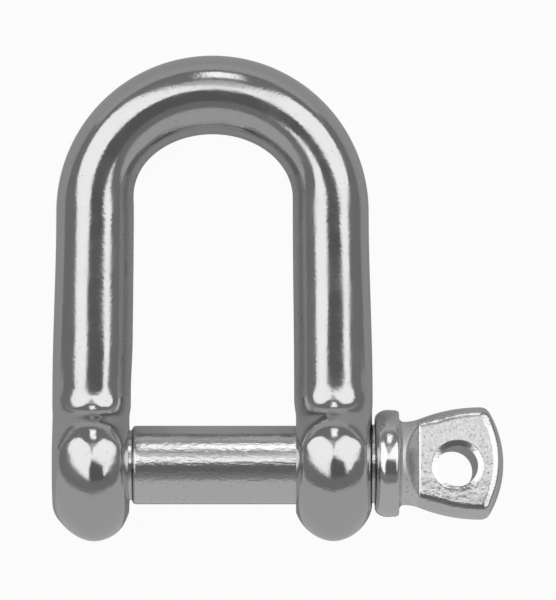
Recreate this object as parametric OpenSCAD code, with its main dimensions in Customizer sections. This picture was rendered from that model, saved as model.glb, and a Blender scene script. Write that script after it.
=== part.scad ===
// D shackle for joining chain: a round-bar bow with two eyes, closed by a
// screw pin that has a collar and a flattened, drilled head.
// It lies as it comes to rest, on both eyes and the crown of the bow.
// The origin is on the pin axis, midway between the eyes.
// +X runs along the pin to its head, +Y to the crown, +Z up.

/* [Bow] */
// Diameter of the round bar
bar_d = 10; // [8:0.5:11]
// Clear width between the legs
inside_w = 20.8; // [16:0.4:26]
// Clear length from the pin to the crown
inside_l = 37.1; // [28:0.1:50]

/* [Eyes] */
// Outside diameter of each eye
eye_d = 19.4; // [17.4:0.2:24]
// Radius of the blend where a leg runs into its eye
blend_r = 6.2; // [3:0.1:9]
// Diameter of the cutter that faces the sides of the eyes
facing_d = 15.4; // [14:0.2:17]
// Depth of the facing on the outer side of each eye
outer_facing = 0.1; // [0.05:0.05:0.4]
// Depth of the facing on the inner side of each eye
inner_facing = 0.25; // [0.05:0.05:0.5]
// Width of the bevel at the mouths of the holes
mouth_bevel = 0.35; // [0.1:0.05:0.6]

/* [Pin shank] */
// Diameter of the plain shank
pin_d = 10; // [8:0.1:11]
// Running clearance all round the shank and the thread
pin_clearance = 0.1; // [0.05:0.05:0.3]
// Bevel at the end of the plain shank
shank_bevel = 0.5; // [0.2:0.1:0.8]

/* [Thread] */
// Pitch of the thread
thread_pitch = 1.5; // [1:0.25:2]
// Length of the relief groove between shank and thread
relief_l = 0.4; // [0.3:0.1:1.5]
// How far the pin end lies inside the outer face of its eye
end_recess = 0.3; // [0:0.1:1]

/* [Collar] */
// Outside diameter of the collar
collar_d = 13.7; // [12.8:0.1:15.4]
// Thickness of the collar
collar_t = 3.1; // [2:0.1:4]
// Radius of the crowned rim of the collar
collar_rim_r = 2.2; // [2.1:0.1:4]
// Gap left between collar and eye
collar_gap = 0.35; // [0.1:0.05:0.8]

/* [Head] */
// Diameter of the neck beyond the collar
neck_d = 10.6; // [9.4:0.1:11.4]
// Radius of the fillet between collar and neck
neck_fillet_r = 0.5; // [0.3:0.1:0.8]
// Widest width of the head
head_w = 14.4; // [13.5:0.1:16]
// Thickness between the two flats of the head
head_t = 5.5; // [4:0.1:7]
// Steepest angle of the flare from neck to head
flare_angle = 22; // [18:1:26]
// Radius of the flare's hollow stretch
flare_hollow_r = 6; // [4:0.5:8]
// Length of the straight stretch where the head is widest
head_straight = 0.3; // [0.1:0.1:3]
// Radius of the rounded end of the head
head_end_r = 13; // [10:0.5:18]
// Radius that rounds the corners of the head
head_corner_r = 1; // [0.4:0.1:1.5]
// Distance from the collar to the start of the flats
flat_start = 2.5; // [2.2:0.1:3.4]
// Angle of the shoulder that runs up from each flat
shoulder_angle = 55; // [48:1:75]
// Diameter of the hole through the head
head_hole_d = 5.2; // [3:0.1:5.6]
// Distance from the collar to the centre of the hole
head_hole_x = 7.1; // [6.4:0.1:8.2]
// Offset of the hole across the head, as drilled
head_hole_y = -0.5; // [-0.8:0.1:0.8]
// Bevel at the mouths of the head's hole
head_hole_bevel = 0.5; // [0.1:0.1:0.8]
// Lean of the hole out of square with the flats, as drilled
head_hole_lean = 7; // [0:1:10]
// Turn of the head out of the plane of the bow, as tightened
head_turn = 10; // [0:1:30]

/* [Hidden] */
$fn = 96;
steel = [0.72, 0.73, 0.74];
// Overlap that lets a cutter reach past the face it cuts
past = 1;
// How far the blend sinks into its eye, so that their faces cross
sink = 0.03;

// A length rounded to a 1024th, so that the solids that end there meet with no gap
function even(length) = round(length * 1024) / 1024;

bar_r = bar_d / 2;
pin_r = pin_d / 2;
eye_r = eye_d / 2;
leg_x = inside_w / 2 + bar_r;
crown_y = pin_r + inside_l + bar_r;
arch_y = even(crown_y - leg_x);
rest_tilt = asin((eye_r - bar_r) / crown_y);

// Centre of the blend, seen along the pin: it touches leg and eye
blend_z = bar_r + blend_r;
blend_y = even(sqrt(pow(eye_r + blend_r - sink, 2) - pow(blend_z, 2)));

inner_face_x = leg_x - bar_r + inner_facing;
outer_face_x = leg_x + bar_r - outer_facing;
shank_hole_r = pin_r + pin_clearance;

// The thread is drawn as the cylinder at its pitch diameter
thread_depth = 0.6495 * thread_pitch;
thread_r = pin_r - thread_depth / 2;
thread_hole_r = thread_r + pin_clearance;
relief_r = thread_r - thread_depth / 4;

collar_x = outer_face_x + collar_gap;
neck_x = collar_x + collar_t;
neck_r = neck_d / 2;
collar_r = collar_d / 2;
head_r = head_w / 2;
thread_end_x = -outer_face_x + end_recess;
shank_end_x = -inner_face_x + relief_l;

// The flare is two arcs that meet at its steepest point
flare_crown_r = (head_r - neck_r) / (1 - cos(flare_angle)) - flare_hollow_r;
flare_x = neck_x + neck_fillet_r;
widest_x = flare_x + (flare_hollow_r + flare_crown_r) * sin(flare_angle);

// The corner arc touches the straight stretch and the rounded end
corner_x = widest_x + head_straight;
corner_angle = acos((head_r - head_corner_r) / (head_end_r - head_corner_r));
end_centre_x = corner_x - (head_end_r - head_corner_r) * sin(corner_angle);
head_end_x = end_centre_x + head_end_r;
flat_x = neck_x + flat_start;

// Turns the bow's own plane to the way it lies
module laid() rotate([-rest_tilt, 0, 0]) children();

// Points of an arc, from angle a to angle b
function arc(centre, r, a, b, n = 12) =
    [for (i = [0:n]) let (t = a + (b - a) * i / n) centre + r * [cos(t), sin(t)]];

// A cylinder along X, from x0 to x1
module x_cylinder(r, x0, x1)
    translate([x0, 0, 0]) rotate([0, 90, 0]) cylinder(r = r, h = x1 - x0);

// A hole along X through the faces at x0 and x1, bevelled at both mouths
module x_hole(r, x0, x1, bevel) {
    x_cylinder(r, x0 - past, x1 + past);
    for (mouth = [[x0, 1], [x1, -1]])
        translate([mouth[0], 0, 0]) rotate([0, 90 * mouth[1], 0])
            translate([0, 0, -past])
                cylinder(r1 = r + bevel + past, r2 = r, h = bevel + past);
}

// Half ring at the top of the bow
module arch()
    translate([0, arch_y, 0]) rotate_extrude(angle = 180)
        translate([leg_x, 0]) circle(r = bar_r);

// Straight round bar from the blend of an eye up to the arch
module leg()
    translate([0, blend_y, 0]) rotate([-90, 0, 0])
        cylinder(r = bar_r, h = arch_y - blend_y);

// Round eye about the pin axis, with a rounded rim and faced sides; inner is +1
// where the inner side is at +X
module eye(inner)
    mirror([inner < 0 ? 1 : 0, 0, 0]) rotate([0, 90, 0]) rotate_extrude() intersection() {
        union() {
            translate([eye_r - bar_r, 0]) circle(r = bar_r);
            translate([0, -bar_r]) square([eye_r - bar_r, bar_d]);
        }
        translate([0, outer_facing - bar_r]) square([eye_r, bar_d - outer_facing - inner_facing]);
    }

// Spool that hollows the blend between leg and eye, as wide as the bar
module blend_spool()
    rotate([0, 90, 0]) rotate_extrude() difference() {
        translate([0, -bar_r]) square([blend_r + bar_r, bar_d]);
        translate([blend_r + bar_r, 0]) circle(r = bar_r);
    }

// Blend from round leg to round eye, hollow at the front and the back
module blend() {
    touch = eye_r / (eye_r + blend_r);
    difference() {
        rotate([0, 90, 0]) translate([0, 0, -bar_r]) linear_extrude(bar_d)
            polygon([
                [0, 0],
                [-blend_z * touch, blend_y * touch],
                [-blend_z * touch, blend_y],
                [blend_z * touch, blend_y],
                [blend_z * touch, blend_y * touch]
            ]);
        for (side = [-1, 1])
            translate([0, blend_y, side * blend_z]) blend_spool();
    }
}

// Cutters that face both sides of an eye; inner is +1 where the inner side is at +X
module facing(inner)
    mirror([inner < 0 ? 1 : 0, 0, 0]) {
        x_cylinder(facing_d / 2, bar_r - inner_facing, bar_r + past);
        x_cylinder(facing_d / 2, -bar_r - past, outer_facing - bar_r);
    }

module bow() color(steel) laid() difference() {
    union() {
        arch();
        for (side = [-1, 1]) translate([side * leg_x, 0, 0]) {
            difference() {
                union() {
                    leg();
                    blend();
                }
                facing(-side);
            }
            eye(-side);
        }
    }
    x_hole(shank_hole_r, inner_face_x, outer_face_x, mouth_bevel);
    x_hole(thread_hole_r, -outer_face_x, -inner_face_x, mouth_bevel);
}

// Half outline of the pin from its threaded end to the collar
module shank_outline()
    polygon([
        [0, thread_end_x],
        [thread_r - thread_depth / 2, thread_end_x],
        [thread_r, thread_end_x + thread_depth / 2],
        [thread_r, shank_end_x - relief_l],
        [relief_r, shank_end_x - relief_l],
        [relief_r, shank_end_x],
        [pin_r - shank_bevel, shank_end_x],
        [pin_r, shank_end_x + shank_bevel],
        [pin_r, collar_x + collar_t / 2],
        [0, collar_x + collar_t / 2]
    ]);

// Half outline of the collar, with a crowned rim
module collar_outline()
    translate([0, collar_x]) intersection() {
        square([collar_r, collar_t]);
        union() {
            square([collar_r - collar_rim_r, collar_t]);
            translate([collar_r - collar_rim_r, collar_t / 2]) circle(r = collar_rim_r);
        }
    }

// Half outline of the head before its flats are pressed: fillet, hollow flare,
// crowned flare, rounded corner and rounded end
module head_outline()
    polygon(concat(
        [[0, neck_x - collar_t / 2], [neck_r + neck_fillet_r, neck_x - collar_t / 2]],
        arc([neck_r + neck_fillet_r, flare_x], neck_fillet_r, 270, 180),
        arc([neck_r + flare_hollow_r, flare_x], flare_hollow_r, 180, 180 - flare_angle),
        arc([head_r - flare_crown_r, widest_x], flare_crown_r, -flare_angle, 0),
        arc([head_r - head_corner_r, corner_x], head_corner_r, 0, corner_angle),
        arc([0, end_centre_x], head_end_r, corner_angle, 90)
    ));

// Cutter for one flat of the head, with the shoulder that runs up to the neck
module flat_cutter() {
    rise = head_r;
    run = rise / tan(shoulder_angle);
    rotate([90, 0, 0]) translate([0, 0, -head_w]) linear_extrude(2 * head_w)
        polygon([
            [flat_x, head_t / 2],
            [head_end_x + past, head_t / 2],
            [head_end_x + past, head_t / 2 + rise],
            [flat_x - run, head_t / 2 + rise]
        ]);
}

// Leaning hole through the head, with a square bevel where it comes out of each flat
module head_hole() {
    head_hole_r = head_hole_d / 2;
    cone_start = head_hole_bevel + head_hole_r / 2;
    rotate([0, head_hole_lean, 0]) cylinder(r = head_hole_r, h = 2 * head_t, center = true);
    for (side = [0, 1]) rotate([0, 180 * side, 0])
        translate([head_t / 2 * tan(head_hole_lean), 0, head_t / 2 - cone_start])
            cylinder(
                r1 = head_hole_r / 2,
                r2 = head_hole_r + head_hole_bevel + past,
                h = cone_start + past
            );
}

module screw_pin() color(steel) laid() rotate([-head_turn, 0, 0]) difference() {
    rotate([90, 0, 90]) rotate_extrude() {
        shank_outline();
        collar_outline();
        head_outline();
    }
    for (side = [0, 1]) mirror([0, 0, side]) flat_cutter();
    translate([neck_x + head_hole_x, head_hole_y, 0]) head_hole();
}

bow();
screw_pin();
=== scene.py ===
import math
import bmesh
import bpy
import numpy as np
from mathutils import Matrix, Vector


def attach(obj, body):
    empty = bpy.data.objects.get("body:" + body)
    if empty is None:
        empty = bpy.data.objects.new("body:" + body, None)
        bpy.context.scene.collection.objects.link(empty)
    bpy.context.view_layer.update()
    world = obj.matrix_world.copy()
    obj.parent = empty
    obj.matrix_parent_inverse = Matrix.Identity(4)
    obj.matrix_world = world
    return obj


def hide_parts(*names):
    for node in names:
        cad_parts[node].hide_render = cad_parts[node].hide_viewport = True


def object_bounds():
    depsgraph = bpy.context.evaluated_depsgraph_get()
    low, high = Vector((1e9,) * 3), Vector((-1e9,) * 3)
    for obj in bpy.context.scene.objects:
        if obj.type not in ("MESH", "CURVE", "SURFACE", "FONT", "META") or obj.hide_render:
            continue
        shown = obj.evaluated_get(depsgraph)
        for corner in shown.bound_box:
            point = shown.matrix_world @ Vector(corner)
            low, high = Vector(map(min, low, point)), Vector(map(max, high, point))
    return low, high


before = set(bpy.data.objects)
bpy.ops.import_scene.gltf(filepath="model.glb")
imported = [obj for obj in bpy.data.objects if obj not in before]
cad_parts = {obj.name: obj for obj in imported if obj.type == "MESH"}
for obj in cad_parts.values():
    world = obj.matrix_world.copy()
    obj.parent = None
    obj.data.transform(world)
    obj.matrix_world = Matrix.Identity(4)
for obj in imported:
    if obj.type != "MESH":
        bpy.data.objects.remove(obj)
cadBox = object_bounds()
print("frame loaded, CAD box", cadBox)

mm = 0.001
tiny = 1e-6  # keeps divisions away from zero
weldGap = 2e-7  # points closer than this, in metres, become one


# Quads of a grid of rows by columns whose points are numbered row by row from first.
def gridQuads(rows, cols, first):
    corner = np.arange(rows - 1)[:, None] * cols + np.arange(cols - 1)[None, :] + first
    return np.stack([corner, corner + 1, corner + cols + 1, corner + cols], axis=-1).reshape(-1, 4)


# Points turned about the pin axis: y and z rotate so that the crown side goes down.
def tipped(points, degrees):
    c = math.cos(math.radians(degrees))
    s = math.sin(math.radians(degrees))
    x, y, z = np.moveaxis(points, -1, 0)
    return np.stack([x, y * c + z * s, z * c - y * s], axis=-1)


# A cubic ease from 0 at low to 1 at high.
def ease(low, high, value):
    t = np.clip((value - low) / (high - low), 0.0, 1.0)
    return t * t * (3.0 - 2.0 * t)


# One mesh from grids of points in millimetres: shared edges are welded and faces turned outwards.
def weldedMesh(name, grids):
    points = []
    quads = []
    count = 0
    for grid in grids:
        rows, cols = grid.shape[:2]
        points.append(grid.reshape(-1, 3))
        quads.append(gridQuads(rows, cols, count))
        count += rows * cols
    mesh = bpy.data.meshes.new(name)
    mesh.from_pydata((np.concatenate(points) * mm).tolist(), [], np.concatenate(quads).tolist())
    welder = bmesh.new()
    welder.from_mesh(mesh)
    bmesh.ops.remove_doubles(welder, verts=welder.verts, dist=weldGap)
    bmesh.ops.recalc_face_normals(welder, faces=welder.faces)
    welder.to_mesh(mesh)
    welder.free()
    return mesh


# An object for a mesh, shaded smooth but for edges sharper than sharpDeg.
def placed(name, mesh, sharpDeg):
    mesh.shade_smooth()
    mesh.set_sharp_from_angle(angle=math.radians(sharpDeg))
    piece = bpy.data.objects.new(name, mesh)
    bpy.context.scene.collection.objects.link(piece)
    return piece


threadSize = {
    "pitch": 1.5,
    "flankDeg": 60.0,
    "pinCrestR": 4.9,
    "pinRootR": 4.02,
    "pinCrestFlat": 0.15,
    "holeRootR": 5.03,
    "holeCrestR": 4.2,
    "holeRootFlat": 0.2,
}


# Radius of a thread whose crest runs as a right-hand helix: it falls along the flanks on both
# sides of the crest, and is cut off at both radii.
def threadRadius(x, angle, crestR, rootR, crestFlat):
    turn = np.mod(x / threadSize["pitch"] - angle / (2 * math.pi), 1.0)
    away = np.abs(turn - 0.5) * threadSize["pitch"]
    steep = math.tan(math.radians(threadSize["flankDeg"]))
    return np.clip(crestR - (away - crestFlat / 2) * steep, rootR, crestR)


bowSize = {
    "barR": 5.0,
    "eyeR": 9.7,
    "legX": 15.4,
    "blendR": 6.2,
    "facingR": 7.7,
    "facingRamp": 2.4,
    "outerFacing": 0.1,
    "innerFacing": 0.25,
    "plainHoleR": 5.1,
    "plainMouthR": 5.45,
    "tappedMouthR": 5.2,
    "archY": 32.25,
    "archOuterR": 19.9,
    "archInnerA": 10.22,
    "archInnerB": 8.15,
    "archInnerLift": 1.73,
    # legs: drawn in along y towards the arch, the left one a little more on its inner side
    "legDrawStart": 9.0,
    "leftInner": 0.2,
    "leftInnerFull": 16.0,
    "leftInnerSwing": 0.7,  # radians round the arch
    # how far the crest of legs and arch leans outwards
    "legCrestOut": 0.2,
    "legCrestSpan": (14.0, 23.0),
    "archStartOut": 0.1,
    "archStartFrom": 28.0,
    "archCrestOut": 0.4,
    # crest of the eyes: eases and spans in radians round the eye from the crown's side, fades and
    # widths across it in shares of the bar's radius
    "leftCrestR": 5.9,
    "rightCrestR": 6.5,
    "leftCrestShift": 0.2,
    "rightCrestShift": 0.0,
    "crestEaseIn": 0.5,
    "crestEaseOut": (1.9, 2.9),
    "crestFade": (0.7, 1.1),
    "roofDrop": 0.2,
    "roofWide": 0.6,
    "roofSoft": 0.04,
    "roofSpan": (1.15, 1.5),
    "tipPower": -0.15,
    "tipSpan": (1.9, 3.1),
    # unevenness of the forging: spans along y, or from the axis of the hole
    "clearSpan": (5.6, 8.5),
    "neckSpan": (5.6, 8.6),
    "settleSpan": (8.6, 14.0),
    "eyeTighten": 0.07,
    "leftNeckTighten": 1.0,
    "rightNeckTighten": 0.6,
    "rightCrestUp": 0.5,
    "leftTipSkew": 0.09,
    "skewSpan": (-8.0, -3.0),
    "neckDip": 0.047,
    "dipIn": (4.8, 7.4),
    "dipOut": (7.6, 11.0),
    # polishing waves: radians per millimetre along, radians per bar radius across, phase, share
    "ripple": 0.0018,
    "rippleWaves": ((0.83, 5.2, 0.0, 1.0), (1.9, -8.4, 1.0, 0.7), (3.7, 2.4, 2.0, 0.5)),
    "ripplePower": 6,
    "legRows": 32,
    "neckRows": 64,
    "eyeRows": 84,
    "archRows": 120,
    "rimCols": 56,
    "sideCols": 10,
    "threadCols": 100,
    "plainCols": 6,
    "sharpDeg": 9.0,
}
bowSize["coreR"] = bowSize["eyeR"] - bowSize["barR"]
bowSize["blendZ"] = bowSize["barR"] + bowSize["blendR"]
bowSize["blendY"] = math.sqrt((bowSize["eyeR"] + bowSize["blendR"]) ** 2 - bowSize["blendZ"] ** 2)
bowSize["touch"] = math.atan2(bowSize["blendZ"], bowSize["blendY"])
bowSize["innerFace"] = bowSize["barR"] - bowSize["innerFacing"]
bowSize["outerFace"] = bowSize["outerFacing"] - bowSize["barR"]

# how the shackle lies: the bow tips until its crown meets the floor
lie = {
    "crownY": 47.1,
    "headTurn": 10.0,
}
tipDeg = math.degrees(math.asin(bowSize["coreR"] / lie["crownY"]))
headDeg = tipDeg + lie["headTurn"]


# Half width of the unfaced forging over a point of its plane: the bar's radius less the
# rise of a circle with the point's distance from the flat core.
def bowHalfWidth(y, z):
    size = bowSize
    z = np.abs(z)
    spool = size["blendZ"] - np.hypot(y - size["blendY"], z - size["blendZ"])
    core = np.hypot(y, z) - size["coreR"]
    away = np.where(np.arctan2(z, y) < size["touch"], spool, core)
    away = np.where(y >= size["blendY"], z, np.maximum(away, 0.0))
    return np.sqrt(np.maximum(size["barR"] ** 2 - away ** 2, 0.0))


# The edge of the flat core that the round rim is carried along, down the front of a leg, through
# the blend, round the eye and back up: points, outward normals, and where each row ends on the
# side faces. Rows of the leg and of the first half of the neck end on the leg's middle line, the
# others on the mouth of the hole.
def bowPath(mouthR):
    size = bowSize
    legY = np.linspace(size["archY"], size["blendY"], size["legRows"] + 1)[:-1]
    onLeg = np.zeros_like(legY)
    swing = math.pi / 2 - size["touch"]
    neck = np.linspace(0.0, 1.0, size["neckRows"] + 1)[:-1]
    onNeck = np.zeros_like(neck)
    around = np.linspace(size["touch"], math.pi, size["eyeRows"] + 1)
    neckY = size["blendY"] - size["blendZ"] * np.sin(neck * swing)
    neckZ = size["blendZ"] - size["blendZ"] * np.cos(neck * swing)
    edgeY = np.concatenate([legY, neckY, size["coreR"] * np.cos(around)])
    edgeZ = np.concatenate([onLeg, neckZ, size["coreR"] * np.sin(around)])
    outY = np.concatenate([onLeg, np.sin(neck * swing), np.cos(around)])
    outZ = np.concatenate([onLeg + 1, np.cos(neck * swing), np.sin(around)])
    toMouth = np.clip(neck * 2, 0, 1)
    mouthAngle = np.clip(neck * 2 - 1, 0, 1) * size["touch"]
    neckEndY = np.where(neck < 0.5, size["blendY"] + (mouthR - size["blendY"]) * toMouth,
                        mouthR * np.cos(mouthAngle))
    endY = np.concatenate([legY, neckEndY, mouthR * np.cos(around)])
    endZ = np.concatenate([onLeg, mouthR * np.sin(mouthAngle), mouthR * np.sin(around)])
    broadens = ease(size["touch"], size["touch"] + size["crestEaseIn"], around)
    broadens = broadens * (1 - ease(*size["crestEaseOut"], around))
    crest = np.concatenate([onLeg, onNeck, broadens])
    roof = np.concatenate([onLeg, onNeck, ease(*size["roofSpan"], around)])
    power = 2 + np.concatenate([onLeg, onNeck, size["tipPower"] * ease(*size["tipSpan"], around)])
    onEye = np.concatenate([onLeg, ease(0.5, 1.0, neck), np.ones_like(around)])
    half = np.stack([edgeY, edgeZ, outY, outZ, endY, endZ, power, crest, roof, onEye], axis=-1)
    mirrored = np.array([1, -1, 1, -1, 1, -1, 1, 1, 1, 1])  # each z changes its sign at the back
    path = np.concatenate([half, half[::-1][1:] * mirrored])
    angles = np.concatenate([mouthAngle[neck >= 0.5], around])
    angles = np.concatenate([angles, 2 * math.pi - angles[::-1][1:]])
    return path, angles


# Small waves left by hand polishing: a few slow sines along and across the surface.
def polishWave(along, across):
    waves = [share * np.sin(along * lengthwise + across * crosswise + phase)
             for lengthwise, crosswise, phase, share in bowSize["rippleWaves"]]
    return bowSize["ripple"] * sum(waves)


# Rise of the rim over the edge of the core, by the sine across the bar: the bar's round, a little
# sharper at the tip of the eye. Where crest is 1 it is a broader circle of radius crestR, lowered
# to both sides of the crest by a roof that falls as a parabola, and polishing waves run over it.
def rimRise(sine, along, power, crest, roof, crestR, crestShift):
    size = bowSize
    fade = 1 - sine ** size["ripplePower"]
    rise = size["barR"] * (1 - np.abs(sine) ** power) ** (1 / power)
    offCrest = sine - crestShift / size["barR"] * fade
    away = np.minimum(np.hypot(offCrest, size["roofSoft"]) - size["roofSoft"], size["roofWide"])
    broad = size["barR"] - crestR + np.sqrt(crestR ** 2 - (size["barR"] * offCrest) ** 2)
    broad = broad - roof * size["roofDrop"] * (1 - (1 - away / size["roofWide"]) ** 2)
    crest = crest * (1 - ease(*size["crestFade"], np.abs(sine)))
    return rise + crest * (broad - rise) + fade * polishWave(along, sine)


# The round rim and both side faces of one leg and its eye, row by row along the path: the rim
# stands on the path by its rise, and the sides run from the rim's creases to where the row ends.
# Local x is 0 in the middle of the bar and grows towards the inside of the bow.
def bowSide(mouthR, crestR, crestShift):
    size = bowSize
    path, angles = bowPath(mouthR)
    edgeY, edgeZ, outY, outZ, endY, endZ, power, crest, roof, onEye = path.T[:, :, None]
    outerCrease = math.asin(size["outerFace"] / size["barR"])
    innerCrease = math.asin(size["innerFace"] / size["barR"])
    sine = np.sin(np.linspace(outerCrease, innerCrease, size["rimCols"] + 1))[None, :]
    along = np.cumsum(np.hypot(np.gradient(path[:, 0]), np.gradient(path[:, 1])))[:, None]
    rise = rimRise(sine, along, power, crest, roof, crestR, crestShift)
    rim = np.stack([size["barR"] * sine + 0 * edgeY, edgeY + rise * outY, edgeZ + rise * outZ], axis=-1)
    step = np.linspace(0, 1, size["sideCols"] + 1)[None, :]
    ramp = (size["facingR"] - size["facingRamp"] / 2, size["facingR"] + size["facingRamp"] / 2)
    sides = []
    for column, sign, depth in ((0, -1, size["outerFacing"]), (-1, 1, size["innerFacing"])):
        y = rim[:, column, 1][:, None] * (1 - step) + endY * step
        z = rim[:, column, 2][:, None] * (1 - step) + endZ * step
        cut = depth * (1 - ease(*ramp, np.hypot(y, z)))
        x = np.minimum(bowHalfWidth(y, z), size["barR"] - cut)
        x = sign * (x + onEye * (size["barR"] - depth - x))
        sides.append(np.stack([x, y, z], axis=-1))
    return np.concatenate([sides[0][:, ::-1][:, :-1], rim, sides[1][:, 1:]], axis=1), angles


# The wall of the plain hole: circles of one radius, with a wider one at each mouth for the bevel.
def plainWall(angles):
    size = bowSize
    bevel = size["plainMouthR"] - size["plainHoleR"]
    inner, outer = size["innerFace"], size["outerFace"]
    between = np.linspace(inner - bevel, outer + bevel, size["plainCols"])
    x = np.concatenate([[inner], between, [outer]])[None, :]
    r = np.full_like(x, size["plainHoleR"])
    r[0, [0, -1]] = size["plainMouthR"]
    y = r * np.cos(angles)[:, None]
    z = r * np.sin(angles)[:, None]
    return np.stack([x + 0 * y, y, z], axis=-1)


# The wall of the tapped hole: a helical thread, widened to a cone at both mouths.
def tappedWall(angles):
    size = bowSize
    inner, outer = size["innerFace"], size["outerFace"]
    x = np.linspace(inner, outer, size["threadCols"] + 1)[None, :]
    angle = angles[:, None]
    r = threadRadius(x - size["legX"], angle, threadSize["holeRootR"], threadSize["holeCrestR"],
                     threadSize["holeRootFlat"])
    r = np.maximum(r, size["tappedMouthR"] - np.minimum(inner - x, x - outer))
    return np.stack([x + 0 * r, r * np.cos(angle), r * np.sin(angle)], axis=-1)


# Inner radius of the arch seen from its centre: the straight leg, then a low ellipse. Where a ray
# from the centre meets the ellipse is the larger root of a quadratic.
def archInner(swing):
    size = bowSize
    a, b, lift = size["archInnerA"], size["archInnerB"], size["archInnerLift"]
    c = np.abs(np.cos(swing))
    s = np.sin(swing)
    square = (c / a) ** 2 + (s / b) ** 2
    linear = -2 * s * lift / b ** 2
    constant = (lift / b) ** 2 - 1
    onEllipse = (-linear + np.sqrt(linear ** 2 - 4 * square * constant)) / (2 * square)
    onLeg = a / np.maximum(c, tiny)
    return np.where(onLeg * s < lift, onLeg, onEllipse)


# The forging as it came out, clear of the holes: the top of the eye and its neck sit a little
# nearer the pin, the crest of the right eye sits higher by the square of its height, the tip of
# the left eye is askew, and the neck dips towards the middle plane.
def asForged(grid, side):
    size = bowSize
    x, y, z = np.moveaxis(grid, -1, 0)
    clear = ease(*size["clearSpan"], np.hypot(y, z))
    onNeck = ease(*size["neckSpan"], y)
    tighten = size["leftNeckTighten"] if side < 0 else size["rightNeckTighten"]
    nearer = size["eyeTighten"] * np.maximum(y, 0) * (1 - onNeck) + tighten * onNeck
    nearer = nearer - size["rightCrestUp"] * (z / size["eyeR"]) ** 2 * (side > 0)
    nearer = nearer * (1 - ease(*size["settleSpan"], y))
    askew = size["leftTipSkew"] * x * (1 - ease(*size["skewSpan"], y)) * (side < 0)
    y = y - clear * (nearer + askew)
    dip = clear * size["neckDip"] * ease(*size["dipIn"], y) * (1 - ease(*size["dipOut"], y))
    return np.stack([x, y, z * (1 - dip)], axis=-1)


# The leg's section drawn in a little from eye to arch, its inner side further on the left, and
# its crest moved outwards by the square of its height, then placed left or right of the middle.
def legPlaced(grid, side):
    size = bowSize
    x, y, z = np.moveaxis(asForged(grid, side), -1, 0)
    draw = ease(size["legDrawStart"], size["archY"], y)
    innerX = size["legX"] - size["barR"]
    outerX = size["legX"] + size["barR"]
    innerX = innerX + (size["archInnerA"] - innerX) * draw
    outerX = outerX + (size["archOuterR"] - outerX) * draw
    further = size["leftInner"] * ease(size["legDrawStart"], size["leftInnerFull"], y)
    innerX = innerX - further * (side < 0)
    middle = (innerX + outerX) / 2
    stretch = (outerX - innerX) / (2 * size["barR"])
    crestOut = size["legCrestOut"] * ease(*size["legCrestSpan"], y)
    toArch = ease(size["archStartFrom"], size["archY"], y)
    crestOut = crestOut + (size["archStartOut"] - crestOut) * toArch
    crestOut = crestOut * (z / size["barR"]) ** 2
    return np.stack([side * (middle - x * stretch + crestOut), y, z], axis=-1)


# The arch: the front and back half of the leg's section carried round half a turn between the
# outer and the inner radius, with the crest moved outwards by the square of its height.
def bowArch(halves):
    size = bowSize
    swing = np.linspace(0, math.pi, size["archRows"] + 1)[:, None]
    inner = archInner(swing) - size["leftInner"] * (1 - ease(0.0, size["leftInnerSwing"], swing))
    middle = (size["archOuterR"] + inner) / 2
    stretch = (size["archOuterR"] - inner) / (2 * size["barR"])
    lean = size["archStartOut"] * (1 - np.sin(swing)) + size["archCrestOut"] * np.sin(swing)
    grids = []
    for section in halves:
        x, _, z = section.T[:, None, :]
        reach = middle - x * stretch + lean * (z / size["barR"]) ** 2
        y = size["archY"] + reach * np.sin(swing)
        grids.append(np.stack([-reach * np.cos(swing), y, z + 0 * reach], axis=-1))
    return grids


# The bow: two legs with their eyes, the walls of both holes and the arch, welded and tipped.
def makeBow():
    size = bowSize
    left, leftAngles = bowSide(size["tappedMouthR"], size["leftCrestR"], size["leftCrestShift"])
    right, rightAngles = bowSide(size["plainMouthR"], size["rightCrestR"], size["rightCrestShift"])
    grids = [
        legPlaced(left, -1),
        legPlaced(tappedWall(leftAngles), -1),
        legPlaced(right, 1),
        legPlaced(plainWall(rightAngles), 1),
    ]
    grids += bowArch((left[0], left[-1]))
    mesh = weldedMesh("polishedBow", [tipped(grid, tipDeg) for grid in grids])
    piece = placed("polishedBow", mesh, size["sharpDeg"])
    print("bow", len(mesh.vertices), "points")
    return piece


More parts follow.
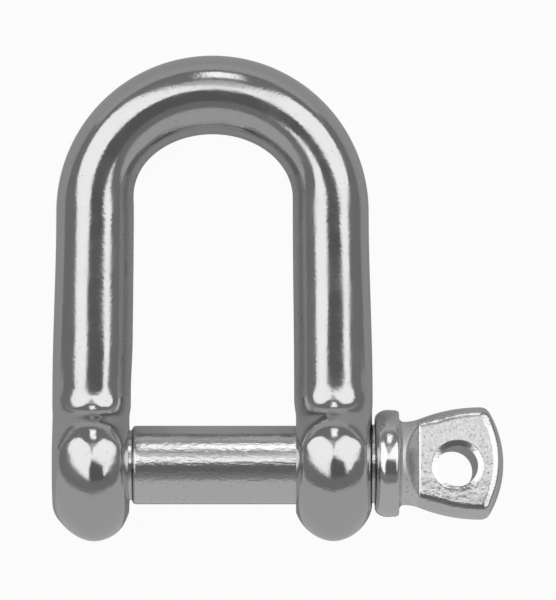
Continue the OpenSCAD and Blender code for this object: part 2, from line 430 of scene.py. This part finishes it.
pinSize = {
    "threadEnd": -20.0,
    "threadStop": -10.95,
    "threadTipR": 3.75,
    "runOut": (-0.9, -0.1),  # from threadStop
    "reliefX": -10.8,
    "reliefR": 4.45,
    "reliefStep": 0.05,
    "shankStart": -10.25,
    "shankBevel": 0.55,
    "shankR": 5.0,
    "collarX": 20.65,
    "collarT": 3.1,
    "collarR": 6.85,
    "collarSkew": 0.33,
    "collarCrownR": 3.4,
    "collarLead": 0.02,
    "collarRound": 4.5,
    "collarSharp": 12.0,
    "neckR": 5.3,
    "neckFillet": 0.65,
    "flareGap": 0.5,
    "flareDeg": 22.0,
    "hollowR": 6.0,
    "headR": 7.2,
    "headLift": 0.2,
    "liftSpan": (-0.4, 0.0),  # from collarX
    "slim": 0.675,
    "slimSpan": (-0.5, 5.5),  # from neckX
    "straight": 0.12,
    "endR": 13.0,
    "cornerR": 1.3,
    # flats of the head
    "headT": 5.5,
    "flatStart": 2.5,
    "shoulderDeg": 55.0,
    "shoulderSoft": 0.2,
    "shoulderEdge": 0.3,
    "edgeSoft": 0.55,
    "softSpan": (-0.6, 0.4),  # from flatX
    "softShare": 0.3,
    "flatCrown": 0.008,
    "flatReach": 8.0,
    "flatRounds": 6,
    "noFlat": 1000.0,  # stands in where there is no flat
    "endBevel": 1.35,
    "endBevelDeg": 20.0,
    "endBevelMost": 2.0,
    # hole of the head
    "holeX": 7.1,
    "holeY": -0.5,
    "holeR": 2.6,
    "bevelWide": 0.75,
    "bevelDeg": 16.0,
    "holeLeanDeg": 7.0,
    "drillOver": 0.8,
    # columns: the crowd of them, in degrees, where the flats meet the round of the head
    "evenEdge": 45.0,
    "edgeRange": (20.0, 78.0),
    "edgeBlend": 1.2,
    "crowd": 2.5,
    "lowCols": 14,
    "crowdCols": 10,
    "topCols": 26,
    "threadStep": 0.07,
    "capRows": 5,
    "shankBevelRows": 9,
    "shankRows": 40,
    "collarRows": 50,
    "neckRows": 14,
    "hollowRows": 20,
    "crownRows": 40,
    "cornerRows": 15,
    "endRows": 40,
    "drillBevelRows": 4,
    "drillCols": 128,
    "sharpDeg": 30.0,
}
pinSize["neckX"] = pinSize["collarX"] + pinSize["collarT"]
pinSize["flatX"] = pinSize["neckX"] + pinSize["flatStart"]


# Stations on an arc of the outline about the centre (x, r), by angles from straight outwards.
def outlineArc(x, r, radius, angles):
    return x + radius * np.sin(angles), r + radius * np.cos(angles)


# Outline of relief groove, rounded bevel and shank as stretches of x and radius.
def shankOutline():
    size = pinSize
    bevel = size["shankBevel"]
    groove = np.array([size["reliefX"], size["shankStart"] - size["reliefStep"]])
    shank = np.linspace(size["shankStart"] + bevel, size["collarX"], size["shankRows"])[1:]
    quarter = np.linspace(-math.pi / 2, 0, size["shankBevelRows"])
    return [
        (groove, np.full_like(groove, size["reliefR"])),
        outlineArc(size["shankStart"] + bevel, size["shankR"] - bevel, bevel, quarter),
        (shank, np.full_like(shank, size["shankR"])),
    ]


# Outline of the collar: two quarters of superellipses, a round one before the peak and a sharp one
# behind it, less the fall of the crown's circle. It stops where the neck's fillet takes over.
def collarOutline():
    size = pinSize
    tall = size["collarR"] - size["neckR"]
    ending = math.asin((size["neckFillet"] / tall) ** (size["collarSharp"] / 2))
    half = np.linspace(size["collarLead"], math.pi - ending, size["collarRows"])
    before = np.cos(half) > 0
    rounded = 2 / np.where(before, size["collarRound"], size["collarSharp"])
    reach = np.where(before, 1, -1) * size["collarT"] / 2 + size["collarSkew"]
    offPeak = -reach * np.abs(np.cos(half)) ** rounded
    crown = size["collarCrownR"] - np.sqrt(size["collarCrownR"] ** 2 - offPeak ** 2)
    x = size["collarX"] + size["collarT"] / 2 + size["collarSkew"] + offPeak
    return [(x, size["neckR"] + (tall - crown) * np.sin(half) ** rounded)]


# Outline of the head: neck, hollow and crowned arcs of the flare, rounded corner and rounded end.
def headOutline():
    size = pinSize
    flareX = size["neckX"] + size["flareGap"]
    neck = np.linspace(size["neckX"], flareX, size["neckRows"])
    hollowR = size["hollowR"]
    steep = math.radians(size["flareDeg"])
    crownR = (size["headR"] - size["neckR"]) / (1 - math.cos(steep)) - hollowR
    widestX = flareX + (hollowR + crownR) * math.sin(steep)
    cornerX = widestX + size["straight"]
    inset = size["endR"] - size["cornerR"]
    lean = math.acos((size["headR"] - size["cornerR"]) / inset)
    hollow = np.linspace(0, -steep, size["hollowRows"] + 1)[1:]
    crown = np.linspace(-steep, 0, size["crownRows"] + 1)[1:]
    corner = np.linspace(0, lean, size["cornerRows"])
    end = np.linspace(lean, math.pi / 2, size["endRows"] + 1)[1:]
    return [
        (neck, np.full_like(neck, size["neckR"])),
        outlineArc(flareX, size["neckR"] + hollowR, -hollowR, hollow),
        outlineArc(widestX, size["headR"] - crownR, crownR, crown),
        outlineArc(cornerX, size["headR"] - size["cornerR"], size["cornerR"], corner),
        outlineArc(cornerX - inset * math.sin(lean), 0.0, size["endR"], end),
    ]


# Outline of the pin from relief groove to the tip of the head as x and radius, with a fillet of a
# quarter circle where the neck leaves the collar.
def pinOutline():
    size = pinSize
    stretches = shankOutline() + collarOutline() + headOutline()
    x = np.concatenate([stretch[0] for stretch in stretches])
    r = np.concatenate([stretch[1] for stretch in stretches])
    r[-1] = 0.0
    away = np.clip(size["neckFillet"] - x + size["neckX"], 0, size["neckFillet"])
    fillet = size["neckFillet"] - np.sqrt(size["neckFillet"] ** 2 - away ** 2)
    return x, r + np.where(x >= size["neckX"], fillet, 0)


# Height of the flats over the pin axis: the flat, rising in a slope of shoulderDeg to the neck.
def flatHeight(x):
    size = pinSize
    rise = (size["flatX"] - x) * math.tan(math.radians(size["shoulderDeg"]))
    return size["headT"] / 2 + 0.5 * (rise + np.sqrt(rise ** 2 + size["shoulderSoft"] ** 2))


# Angles round the pin for each station, crowded where the flats meet the round of the head.
def pinAngles(x, r):
    size = pinSize
    even = size["evenEdge"]
    edge = np.degrees(np.arcsin(np.clip(flatHeight(x) / np.maximum(r, tiny), 0, 1)))
    edge = np.where(x > size["neckX"], np.clip(edge, *size["edgeRange"]), even)
    edge = (even + (edge - even) * ease(0, size["edgeBlend"], x - size["neckX"]))[:, None]
    below, above = edge - size["crowd"], edge + size["crowd"]
    low = below * np.linspace(0, 1, size["lowCols"] + 1)[None, :-1]
    mid = below + (above - below) * np.linspace(0, 1, size["crowdCols"] + 1)[None, :-1]
    top = above + (90 - above) * np.linspace(0, 1, size["topCols"] + 1)[None, :-1]
    quarter = np.concatenate([low, mid, top], axis=1)
    half = np.concatenate([quarter, 90 + 0 * edge, 180 - quarter[:, :0:-1]], axis=1)
    return np.radians(np.concatenate([half, half + 180, 360 + 0 * edge], axis=1))


# Distance from the axis to the crowned flats along each angle: the flat's height less a parabola
# across it and less the slope of the end bevel, found by a few rounds because both depend on where
# the ray meets the flat.
def flatDistance(x, angle, sine):
    size = pinSize
    level = flatHeight(x)[:, None]
    endX = x[-1] - size["endR"]
    fall = math.tan(math.radians(size["endBevelDeg"]))
    flat = level
    for _ in range(size["flatRounds"]):
        across = np.clip(flat * np.cos(angle) / sine, -size["flatReach"], size["flatReach"])
        beyond = size["endBevel"] - size["endR"] + np.hypot(x[:, None] - endX, across)
        bevel = fall * np.clip(beyond, 0, size["endBevelMost"])
        flat = level - size["flatCrown"] * across ** 2 - bevel
    return np.where(x[:, None] > size["neckX"], flat / sine, size["noFlat"])


# The turned and pressed body: at each station the smaller of the outline's radius, pressed to an
# ellipse that slims towards the end, and the distance to the flats, rounded where the two meet.
# Collar and head are lifted a little off the axis.
def pinBody():
    size = pinSize
    x, r = pinOutline()
    slim = 1 + (size["slim"] - 1) * ease(*size["slimSpan"], x - size["neckX"])
    edgeR = np.sqrt(np.maximum(r ** 2 - flatHeight(x) ** 2 * (1 / slim ** 2 - 1), 0))
    angle = pinAngles(x, edgeR)
    sine = np.maximum(np.abs(np.sin(angle)), tiny)
    r = r[:, None] / np.hypot(np.cos(angle), sine / slim[:, None])
    flat = flatDistance(x, angle, sine)
    softer = size["edgeSoft"] - size["shoulderEdge"]
    soft = size["shoulderEdge"] + softer * ease(*size["softSpan"], x - size["flatX"])
    soft = np.minimum(soft[:, None], r * size["softShare"] + tiny)
    near = np.maximum(soft - np.abs(r - flat), 0) / soft
    radius = np.maximum(np.minimum(r, flat) - near ** 2 * soft / 4, 0)
    lift = size["headLift"] * ease(*size["liftSpan"], x - size["collarX"])[:, None]
    y = radius * np.cos(angle) + lift
    return np.stack([x[:, None] + 0 * angle, y, radius * np.sin(angle)], axis=-1)


# The threaded end: a flat cap, then a helical thread that starts on a bevel and runs out into the
# relief groove.
def pinThread():
    size = pinSize
    count = int((size["threadStop"] - size["threadEnd"]) / size["threadStep"])
    x = np.append(np.linspace(size["threadEnd"], size["threadStop"], count), size["reliefX"])
    angle = pinAngles(x, np.ones_like(x))
    x = x[:, None]
    turned = angle - math.radians(lie["headTurn"])
    r = threadRadius(x, turned, threadSize["pinCrestR"], threadSize["pinRootR"],
                     threadSize["pinCrestFlat"])
    bevel = size["threadTipR"] + (x - size["threadEnd"])
    runOut = ease(*size["runOut"], x - size["threadStop"])
    r = np.minimum(r, bevel) * (1 - runOut) + size["reliefR"] * runOut
    capRows = size["capRows"]
    r = np.concatenate([np.linspace(0, 1, capRows + 1)[:-1, None] * r[:1], r])
    x = np.concatenate([np.full((capRows, 1), size["threadEnd"]), x])
    angle = np.concatenate([np.repeat(angle[:1], capRows, axis=0), angle])
    return np.stack([x + 0 * r, r * np.cos(angle), r * np.sin(angle)], axis=-1)


# The drill for the head: circles that lean with the hole, opened to a cone outside each flat
# and lowered by the crown of the flats, so that the bevel is equally wide all round.
def headDrill():
    size = pinSize
    level = size["headT"] / 2
    over = size["drillOver"]
    widen = size["bevelWide"] * np.linspace(0, 1, size["drillBevelRows"])
    deep = widen * math.tan(math.radians(size["bevelDeg"]))
    z = np.concatenate([[level + over, level + over], level - deep])
    z = np.concatenate([-z, z[::-1]])[:, None]
    wide = size["holeR"] + size["bevelWide"]
    r = np.concatenate([[0, wide + over], wide - widen])
    r = np.concatenate([r, r[::-1]])[:, None]
    lean = np.clip(z, -level, level) * math.tan(math.radians(size["holeLeanDeg"]))
    angle = np.linspace(0, 2 * math.pi, size["drillCols"] + 1)[None, :]
    x = size["neckX"] + size["holeX"] + lean + r * np.cos(angle)
    y = size["holeY"] + r * np.sin(angle)
    crown = size["flatCrown"] * (y - size["headLift"]) ** 2
    return np.stack([x, y, z - np.sign(z) * crown], axis=-1)


# The pin: thread and body welded and turned with the head, less the drill.
def makePin():
    sharp = pinSize["sharpDeg"]
    body = weldedMesh("screwPinBlank", [tipped(pinThread(), headDeg), tipped(pinBody(), headDeg)])
    blank = placed("screwPinBlank", body, sharp)
    drill = placed("headDrill", weldedMesh("headDrill", [tipped(headDrill(), headDeg)]), sharp)
    cut = blank.modifiers.new("headHole", "BOOLEAN")
    cut.object = drill
    cut.solver = "EXACT"
    ready = blank.evaluated_get(bpy.context.evaluated_depsgraph_get())
    mesh = bpy.data.meshes.new_from_object(ready)
    mesh.name = "screwPin"
    for spare in (blank, drill):
        bpy.data.objects.remove(spare)
    piece = placed("screwPin", mesh, sharp)
    print("pin", len(mesh.vertices), "points")
    return piece


bow = makeBow()
pin = makePin()


# A noise over the given coordinates.
def noiseNode(tree, coordinates, scale, detail):
    noise = tree.nodes.new("ShaderNodeTexNoise")
    noise.inputs["Scale"].default_value = scale
    noise.inputs["Detail"].default_value = detail
    tree.links.new(coordinates, noise.inputs["Vector"])
    return noise.outputs["Fac"]


# A metal whose roughness and surface drift a little: smears for the roughness, waves for the
# surface, and fine pits that darken the colour where a third noise runs low.
def steelMaterial(name, look):
    material = bpy.data.materials.new(name)
    material.use_nodes = True
    tree = material.node_tree
    nodes = tree.nodes
    links = tree.links
    shader = nodes["Principled BSDF"]
    shader.inputs["Metallic"].default_value = 1.0
    place = nodes.new("ShaderNodeTexCoord")
    stretch = nodes.new("ShaderNodeMapping")
    stretch.inputs["Scale"].default_value = look["stretch"]
    links.new(place.outputs["Object"], stretch.inputs["Vector"])
    smear = noiseNode(tree, stretch.outputs["Vector"], look["smearScale"], look["smearDetail"])
    rough = nodes.new("ShaderNodeMapRange")
    rough.inputs["From Min"].default_value = look["smearLow"]
    rough.inputs["From Max"].default_value = look["smearHigh"]
    rough.inputs["To Min"].default_value = look["roughLow"]
    rough.inputs["To Max"].default_value = look["roughHigh"]
    links.new(smear, rough.inputs["Value"])
    links.new(rough.outputs["Result"], shader.inputs["Roughness"])
    waves = noiseNode(tree, stretch.outputs["Vector"], look["waveScale"], look["waveDetail"])
    waveBump = nodes.new("ShaderNodeBump")
    waveBump.inputs["Strength"].default_value = 1.0
    waveBump.inputs["Distance"].default_value = look["waveDepth"]
    links.new(waves, waveBump.inputs["Height"])
    links.new(waveBump.outputs["Normal"], shader.inputs["Normal"])
    pits = noiseNode(tree, place.outputs["Object"], look["pitScale"], look["pitDetail"])
    pitShade = nodes.new("ShaderNodeValToRGB")
    pit, plain = pitShade.color_ramp.elements
    pit.position = look["pitEdge"]
    plain.position = look["pitEdge"] + look["pitSoft"]
    pit.color = (*[look["pitGrey"]] * 3, 1)
    plain.color = (*[look["grey"]] * 3, 1)
    links.new(pits, pitShade.inputs["Fac"])
    links.new(pitShade.outputs["Color"], shader.inputs["Base Color"])
    return material


# finishes of the steel: the mirror polish of the bow, and how the others differ from it
mirrorLook = {
    "grey": 0.6,
    "pitGrey": 0.42,
    "pitScale": 3200,
    "pitEdge": 0.27,
    "pitSoft": 0.05,
    "pitDetail": 2,
    "stretch": (1, 1, 1),
    "smearScale": 320,
    "smearDetail": 4,
    "smearLow": 0.3,
    "smearHigh": 0.7,
    "roughLow": 0.07,
    "roughHigh": 0.18,
    "waveScale": 2800,
    "waveDetail": 4,
    "waveDepth": 0.000013,
}
shankLook = dict(
    mirrorLook, grey=0.74, pitGrey=0.52, pitEdge=0.29, stretch=(0.4, 1, 1), smearScale=600,
    roughLow=0.09, roughHigh=0.2, waveScale=3000, waveDetail=6, waveDepth=0.000035)
wornLook = dict(
    mirrorLook, grey=0.58, pitGrey=0.3, pitScale=2600, pitEdge=0.28, smearScale=700,
    roughLow=0.27, roughHigh=0.36, waveScale=1400, waveDepth=0.00003)
flatLook = dict(
    wornLook, grey=0.77, pitGrey=0.32, pitEdge=0.3, roughLow=0.26, roughHigh=0.42, waveDepth=0.00018)
bowLooks = {
    "mirrorSteel": mirrorLook,
    "wornSteel": wornLook,
}
pinLooks = {
    "turnedSteel": shankLook,
    "pressedSteel": flatLook,
    "collarSteel": dict(mirrorLook, grey=0.72),
    # shoulders: the rough worn finish with its grey raised to lighten them, painted light
    "shoulderSteelPaintedLight": dict(wornLook, grey=0.66),
    # neck: a rougher finish whose grey lies above the pin's steel to brighten it, a painted sheen
    "neckSteelPaintedSheen": dict(wornLook, grey=0.85, roughLow=0.44, roughHigh=0.54),
}
for piece, looks in ((bow, bowLooks), (pin, pinLooks)):
    for name, look in looks.items():
        piece.data.materials.append(steelMaterial(name, look))


# Normals and centres of a mesh's faces, centres in millimetres.
def faceArrays(mesh):
    normals = np.empty(len(mesh.polygons) * 3, dtype=np.float32)
    centres = np.empty(len(mesh.polygons) * 3, dtype=np.float32)
    mesh.polygons.foreach_get("normal", normals)
    mesh.polygons.foreach_get("center", centres)
    return normals.reshape(-1, 3), centres.reshape(-1, 3) / mm


wornSide = {
    "inward": 0.66,
    "fromY": 9.0,
    "toY": 37.0,
}


# The inner sides of the legs are less polished: the faces that look towards the middle line of
# the bow, or on the arch towards its centre.
def markWorn(mesh):
    normals, centres = faceArrays(mesh)
    x, y = centres[:, 0], centres[:, 1]
    over = np.maximum(y - bowSize["archY"], 0)
    inward = -(normals[:, 0] * x + normals[:, 1] * over) / np.hypot(x, over)
    worn = (inward > wornSide["inward"]) & (y > wornSide["fromY"]) & (y < wornSide["toY"])
    index = np.where(worn, list(bowLooks).index("wornSteel"), 0)
    mesh.polygons.foreach_set("material_index", index.astype(np.int32))


headFinish = {
    "squareDeg": 7.0,
    "flatMargin": 0.2,
    "collarEdge": 0.02,
    "slope": 0.5,  # of the normal along the pin
}


# The finishes of collar, neck, shoulders and flats, where the greys of neck and shoulders are painted
# light: faces are told apart by how far they lie beyond the collar, how square they are to the head and
# how far they look along the pin.
def markFinishesAndPaintedLight(mesh):
    normals, centres = faceArrays(mesh)
    turn = math.radians(headDeg)
    upright = np.abs(normals[:, 1] * math.sin(turn) + normals[:, 2] * math.cos(turn))
    square = upright > math.cos(math.radians(headFinish["squareDeg"]))
    along = centres[:, 0] - pinSize["neckX"]
    edge = headFinish["collarEdge"]
    collar = (along > -pinSize["collarT"]) & (along < edge)
    neck = (along > edge) & (along < pinSize["flatStart"] - headFinish["flatMargin"])
    parts = {
        "pressedSteel": square & (along > pinSize["flatStart"] + headFinish["flatMargin"]),
        "collarSteel": collar,
        "shoulderSteelPaintedLight": neck & (normals[:, 0] > headFinish["slope"]),
        "neckSteelPaintedSheen": neck,
    }
    index = np.select(list(parts.values()), [list(pinLooks).index(name) for name in parts], 0)
    mesh.polygons.foreach_set("material_index", index.astype(np.int32))


markWorn(bow.data)
markFinishesAndPaintedLight(pin.data)
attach(bow, "bow")
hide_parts("bow")
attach(pin, "pin")
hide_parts("screw_pin")
print("pieces finished")

# directions as the camera sees them: right, up the bow, and towards the lens
tip = math.radians(tipDeg)
viewRight = np.array([1.0, 0.0, 0.0])
viewUp = np.array([0.0, math.cos(tip), -math.sin(tip)])
viewBack = np.array([0.0, math.sin(tip), math.cos(tip)])

cameraSet = {
    "distance": 900.0,
    "centre": (8.344, 21.02),
    "pxPerMm": 7.85,
    "imageHeight": 600,
    "sensor": 36.0,
    "clipStart": 0.01,
    "clipEnd": 20.0,
}


# A long lens straight over the bow's plane; its focal length gives the photograph's scale.
def makeCamera(setup):
    data = bpy.data.cameras.new("overheadCamera")
    data.sensor_width = setup["sensor"]
    data.lens = setup["sensor"] * setup["distance"] * setup["pxPerMm"] / setup["imageHeight"]
    data.clip_start = setup["clipStart"]
    data.clip_end = setup["clipEnd"]
    camera = bpy.data.objects.new("overheadCamera", data)
    bpy.context.scene.collection.objects.link(camera)
    right, up = setup["centre"]
    place = right * viewRight + up * viewUp + setup["distance"] * viewBack
    matrix = np.eye(4)
    matrix[:3, :3] = np.stack([viewRight, viewUp, viewBack], axis=1)
    matrix[:3, 3] = place * mm
    camera.matrix_world = matrix.T.tolist()
    bpy.context.scene.camera = camera


# A flat sheet of the stage with one face through its points.
def makeSheet(name, points, material):
    mesh = bpy.data.meshes.new(name)
    mesh.from_pydata(np.asarray(points).tolist(), [], [list(range(len(points)))])
    mesh.materials.append(material)
    sheet = bpy.data.objects.new(name, mesh)
    bpy.context.scene.collection.objects.link(sheet)
    return sheet


# A sheet of one plain brightness that lights the steel and is hidden from the lens.
def glowSheet(name, points, strength):
    material = bpy.data.materials.new(name)
    material.use_nodes = True
    nodes = material.node_tree.nodes
    nodes.clear()
    glow = nodes.new("ShaderNodeEmission")
    glow.inputs["Strength"].default_value = strength
    out = nodes.new("ShaderNodeOutputMaterial")
    material.node_tree.links.new(glow.outputs["Emission"], out.inputs["Surface"])
    sheet = makeSheet(name, points, material)
    sheet.visible_camera = False


# soft boxes hang over the shackle; their corners are tangents of the angle from the lens, to the
# right and up the bow
softBoxes = {
    "leftBox": {
        "glow": 1.36,
        "height": 0.6,
        "corners": [
            (-0.37, -0.42), (-0.31, 0.0), (-0.3, 0.02), (-0.09, 0.17), (0.0, 0.18), (0.0, 0.35),
            (-0.25, 0.73), (-0.82, 1.31), (-1.5, 1.52), (-1.85, 1.45), (-2.05, 1.15), (-2.12, 0.8),
            (-1.95, 0.45), (-1.2, 0.0), (-0.72, -0.28)],
    },
    "rightBox": {
        "glow": 1.36,
        "height": 0.6,
        "corners": [
            (0.77, -0.34), (1.0, -0.2), (1.2, 0.0), (2.05, 0.4), (2.45, 0.8), (2.4, 1.1),
            (2.1, 1.4), (1.75, 1.52), (0.75, 1.31), (0.25, 0.73), (0.01, 0.35), (0.01, 0.18),
            (0.32, 0.17), (0.65, 0.02), (0.67, 0.0)],
    },
    "scrim": {
        "glow": 0.58,
        "height": 0.6,
        "corners": [(0.0, 0.35), (0.25, 0.73), (0.28, 0.78), (-0.28, 0.78), (-0.25, 0.73)],
    },
    "crownLamp": {
        "glow": 1.54,
        "height": 0.6,
        "corners": [(-0.085, 1.06), (0.195, 1.06), (0.4, 2.2), (-0.175, 2.2)],
    },
    "lensShade": {
        "glow": 0.135,
        "height": 0.612,
        "corners": [(-0.6, -0.43), (1.0, -0.43), (0.7, 0.35), (-0.4, 0.35)],
    },
}

makeCamera(cameraSet)
for name, box in softBoxes.items():
    corners = np.array(box["corners"])
    points = box["height"] * (corners[:, :1] * viewRight + corners[:, 1:] * viewUp + viewBack)
    glowSheet(name, points, box["glow"])

room = {
    "floorZ": -bowSize["eyeR"] * mm,
    "floorReach": 2.0,
    "floorGrey": 0.55,
    "cameraWhite": 0.955,
    "mirrorWhite": 0.065,
    "cardReach": 1.6,
    "cardAway": 0.5,
    "frontFoot": 0.0115,
    "frontTop": 0.66,
    "frontGlow": 0.48,
    "backFoot": 0.03,
    "backTop": 0.08,
    "backGlow": 0.445,
    "sideLeft": -0.075,
    "sideRight": 0.062,
    "sideFrom": 0.012,
    "sideTo": 0.09,
    "sideTop": 0.006,
    "worldGrey": 0.222,
}


# Pale floor: a diffuse sheet that keeps the shadow, mixed with white by a share for each kind of
# ray, most of all for what the lens sees.
def floorMaterial(setup):
    material = bpy.data.materials.new("paleFloor")
    material.use_nodes = True
    nodes = material.node_tree.nodes
    links = material.node_tree.links
    nodes.clear()
    paint = nodes.new("ShaderNodeBsdfDiffuse")
    paint.inputs["Color"].default_value = (*[setup["floorGrey"]] * 3, 1)
    white = nodes.new("ShaderNodeEmission")
    path = nodes.new("ShaderNodeLightPath")
    mix = nodes.new("ShaderNodeMixShader")
    shares = {
        "Is Transmission Ray": setup["mirrorWhite"],
        "Is Glossy Ray": setup["mirrorWhite"],
        "Is Camera Ray": setup["cameraWhite"],
    }
    total = mix.inputs["Fac"]
    for ray, share in shares.items():
        add = nodes.new("ShaderNodeMath")
        add.operation = "MULTIPLY_ADD"
        add.inputs[1].default_value = share
        add.inputs[2].default_value = 0.0
        links.new(path.outputs[ray], add.inputs[0])
        links.new(add.outputs["Value"], total)
        total = add.inputs[2]
    links.new(paint.outputs["BSDF"], mix.inputs[1])
    links.new(white.outputs["Emission"], mix.inputs[2])
    out = nodes.new("ShaderNodeOutputMaterial")
    links.new(mix.outputs["Shader"], out.inputs["Surface"])
    return material


# Corners of a sheet across the stage, from a foot on the floor to a top edge.
def acrossStage(wide, footY, topY, topZ):
    foot = room["floorZ"]
    return [(-wide, footY, foot), (wide, footY, foot), (wide, topY, topZ), (-wide, topY, topZ)]


# A low card beside a leg, as grey as the room, that hides the floor beyond it from the steel.
def makeSideCard(name, x):
    near, far = room["sideFrom"], room["sideTo"]
    foot, top = room["floorZ"], room["sideTop"]
    points = [(x, near, foot), (x, far, foot), (x, far, top), (x, near, top)]
    glowSheet(name, points, room["worldGrey"])


# the floor, and grey cards in front of the eyes, beyond the crown and beside the legs
reach = room["floorReach"]
makeSheet("paleFloor", acrossStage(reach, -reach, reach, room["floorZ"]), floorMaterial(room))
frontCard = acrossStage(room["cardReach"], -room["frontFoot"], -room["cardAway"], room["frontTop"])
glowSheet("frontCard", frontCard, room["frontGlow"])
crownFoot = room["backFoot"] + cadBox[1][1]
backCard = acrossStage(room["cardReach"], crownFoot, room["cardAway"], room["backTop"])
glowSheet("backCard", backCard, room["backGlow"])
makeSideCard("leftCard", room["sideLeft"])
makeSideCard("rightCard", room["sideRight"])

world = bpy.data.worlds.new("dimRoom")
world.use_nodes = True
world.node_tree.nodes["Background"].inputs["Color"].default_value = (*[room["worldGrey"]] * 3, 1)
bpy.context.scene.world = world
bpy.context.scene.view_settings.view_transform = "Standard"
print("stage finished")
